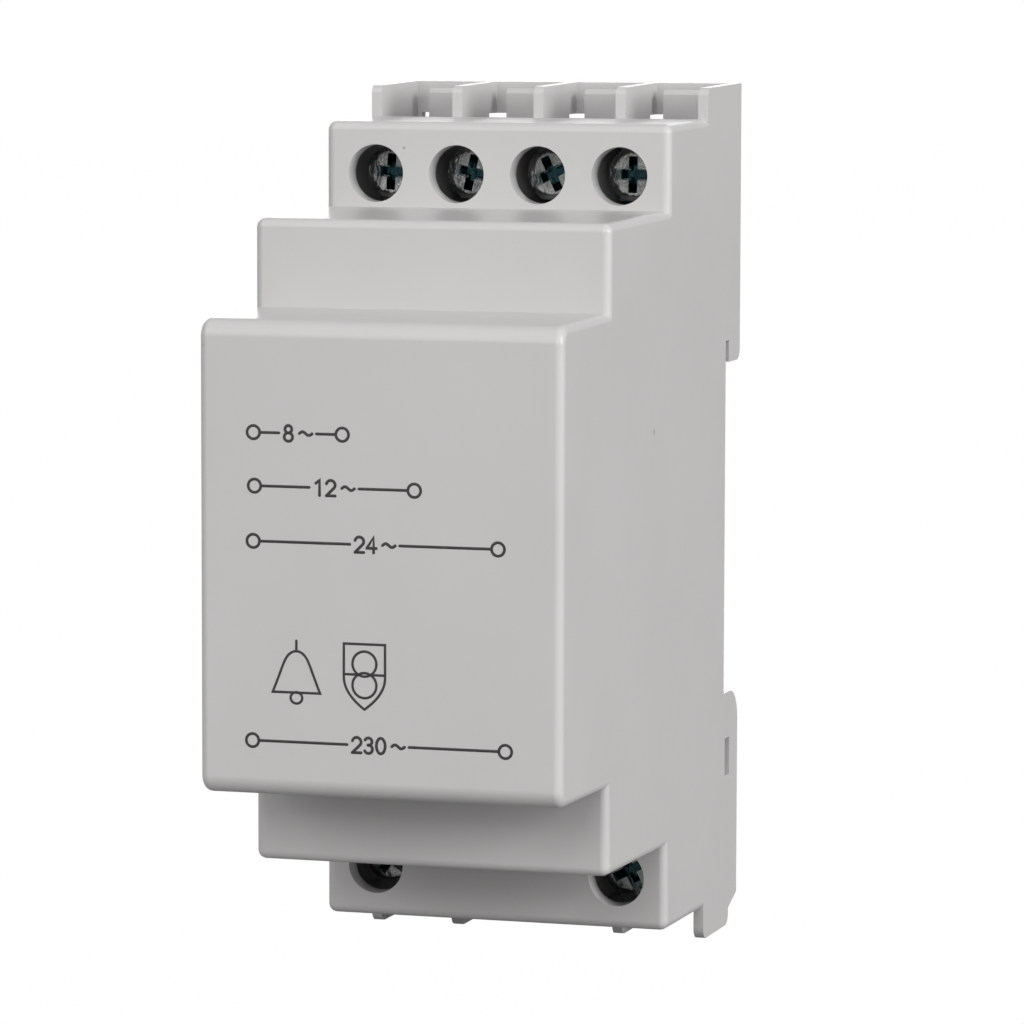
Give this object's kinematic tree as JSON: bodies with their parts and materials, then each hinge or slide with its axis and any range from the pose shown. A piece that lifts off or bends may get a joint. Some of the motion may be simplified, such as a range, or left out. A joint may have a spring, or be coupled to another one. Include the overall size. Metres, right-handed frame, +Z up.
{
  "type": "doorbell transformer",
  "caption": "Stepped rail-mounted doorbell transformer with recessed cage-clamp screw terminals, finned wire wells, a sprung rail clip and a wound core inside.",
  "frame": {"origin": "middle of the plane where the rail's flanges seat on the rear cover", "axes": "+X across the case to the right as seen from the front, +Y to the wall behind the rail, +Z up to the low-voltage terminals"},
  "size_m": [0.036, 0.0647, 0.0878],
  "materials": {
    "case_grey": "satin, finely spark-eroded, light grey",
    "clip_grey": "satin, dark grey",
    "spring_steel": "drawn wire",
    "zinc_plated_steel": "zinc plated, bluish, reflective",
    "tinned_brass": "tinned, dull",
    "core_steel": "stacked dark laminations",
    "bobbin_nylon": "natural nylon",
    "copper_coil": "enamelled copper wire in layers",
    "coil_tape": "yellow film tape",
    "lead_white": "white insulation",
    "lead_blue": "blue insulation",
    "lead_brown": "brown insulation",
    "print_ink": "pad-printed dark ink",
    "link_shell": "pale ceramic-filled barrel"
  },
  "bodies": {
    "case": {"housing_shell": "case_grey", "rear_cover": "case_grey", "clip_spring": "spring_steel", "terminal_contact_1": "tinned_brass", "terminal_contact_2": "tinned_brass", "terminal_contact_3": "tinned_brass", "terminal_contact_4": "tinned_brass", "terminal_contact_5": "tinned_brass", "terminal_contact_6": "tinned_brass", "core_e_stack": "core_steel", "core_i_stack": "core_steel", "bobbin": "bobbin_nylon", "primary_winding": "copper_coil", "primary_tape": "coil_tape", "secondary_winding": "copper_coil", "secondary_tape": "coil_tape", "thermal_link": "link_shell", "secondary_lead_1": "lead_white", "secondary_lead_2": "lead_white", "secondary_lead_3": "lead_white", "secondary_lead_4": "lead_white", "neutral_lead": "lead_blue", "winding_lead": "lead_brown", "live_lead": "lead_brown"},
    "clip": {"rail_clip": "clip_grey"},
    "cage_1": {"terminal_cage_1": "zinc_plated_steel"},
    "screw_1": {"terminal_screw_1": "zinc_plated_steel"},
    "cage_2": {"terminal_cage_2": "zinc_plated_steel"},
    "screw_2": {"terminal_screw_2": "zinc_plated_steel"},
    "cage_3": {"terminal_cage_3": "zinc_plated_steel"},
    "screw_3": {"terminal_screw_3": "zinc_plated_steel"},
    "cage_4": {"terminal_cage_4": "zinc_plated_steel"},
    "screw_4": {"terminal_screw_4": "zinc_plated_steel"},
    "cage_5": {"terminal_cage_5": "zinc_plated_steel"},
    "screw_5": {"terminal_screw_5": "zinc_plated_steel"},
    "cage_6": {"terminal_cage_6": "zinc_plated_steel"},
    "screw_6": {"terminal_screw_6": "zinc_plated_steel"}
  },
  "joints": [
    {"name": "clip_slide", "type": "slide", "parent": "case", "child": "clip", "axis": [0, 0, -1], "range_m": [0, 0.004], "stiffness_N_per_m": 1500, "springref_m": -0.0023, "deforming": ["clip_spring"]},
    {"name": "cage_slide_1", "type": "slide", "parent": "case", "child": "cage_1", "axis": [0, -1, 0], "range_m": [0, 0.0042]},
    {"name": "screw_turn_1", "type": "hinge", "parent": "case", "child": "screw_1", "pos_m": [-0.01275, 0, 0.03523], "axis": [0, 1, 0], "range_deg": [0, 2520]},
    {"name": "cage_slide_2", "type": "slide", "parent": "case", "child": "cage_2", "axis": [0, -1, 0], "range_m": [0, 0.0042]},
    {"name": "screw_turn_2", "type": "hinge", "parent": "case", "child": "screw_2", "pos_m": [-0.00425, 0, 0.03523], "axis": [0, 1, 0], "range_deg": [0, 2520]},
    {"name": "cage_slide_3", "type": "slide", "parent": "case", "child": "cage_3", "axis": [0, -1, 0], "range_m": [0, 0.0042]},
    {"name": "screw_turn_3", "type": "hinge", "parent": "case", "child": "screw_3", "pos_m": [0.00425, 0, 0.03523], "axis": [0, 1, 0], "range_deg": [0, 2520]},
    {"name": "cage_slide_4", "type": "slide", "parent": "case", "child": "cage_4", "axis": [0, -1, 0], "range_m": [0, 0.0042]},
    {"name": "screw_turn_4", "type": "hinge", "parent": "case", "child": "screw_4", "pos_m": [0.01275, 0, 0.03523], "axis": [0, 1, 0], "range_deg": [0, 2520]},
    {"name": "cage_slide_5", "type": "slide", "parent": "case", "child": "cage_5", "axis": [0, -1, 0], "range_m": [0, 0.0042]},
    {"name": "screw_turn_5", "type": "hinge", "parent": "case", "child": "screw_5", "pos_m": [-0.01275, 0, -0.03523], "axis": [0, 1, 0], "range_deg": [0, 2520]},
    {"name": "cage_slide_6", "type": "slide", "parent": "case", "child": "cage_6", "axis": [0, -1, 0], "range_m": [0, 0.0042]},
    {"name": "screw_turn_6", "type": "hinge", "parent": "case", "child": "screw_6", "pos_m": [0.01275, 0, -0.03523], "axis": [0, 1, 0], "range_deg": [0, 2520]}
  ],
  "couplings": [
    {"joint": "screw_turn_1", "follows": "cage_slide_1", "rad_per_m": 10472},
    {"joint": "screw_turn_2", "follows": "cage_slide_2", "rad_per_m": 10472},
    {"joint": "screw_turn_3", "follows": "cage_slide_3", "rad_per_m": 10472},
    {"joint": "screw_turn_4", "follows": "cage_slide_4", "rad_per_m": 10472},
    {"joint": "screw_turn_5", "follows": "cage_slide_5", "rad_per_m": 10472},
    {"joint": "screw_turn_6", "follows": "cage_slide_6", "rad_per_m": 10472}
  ]
}
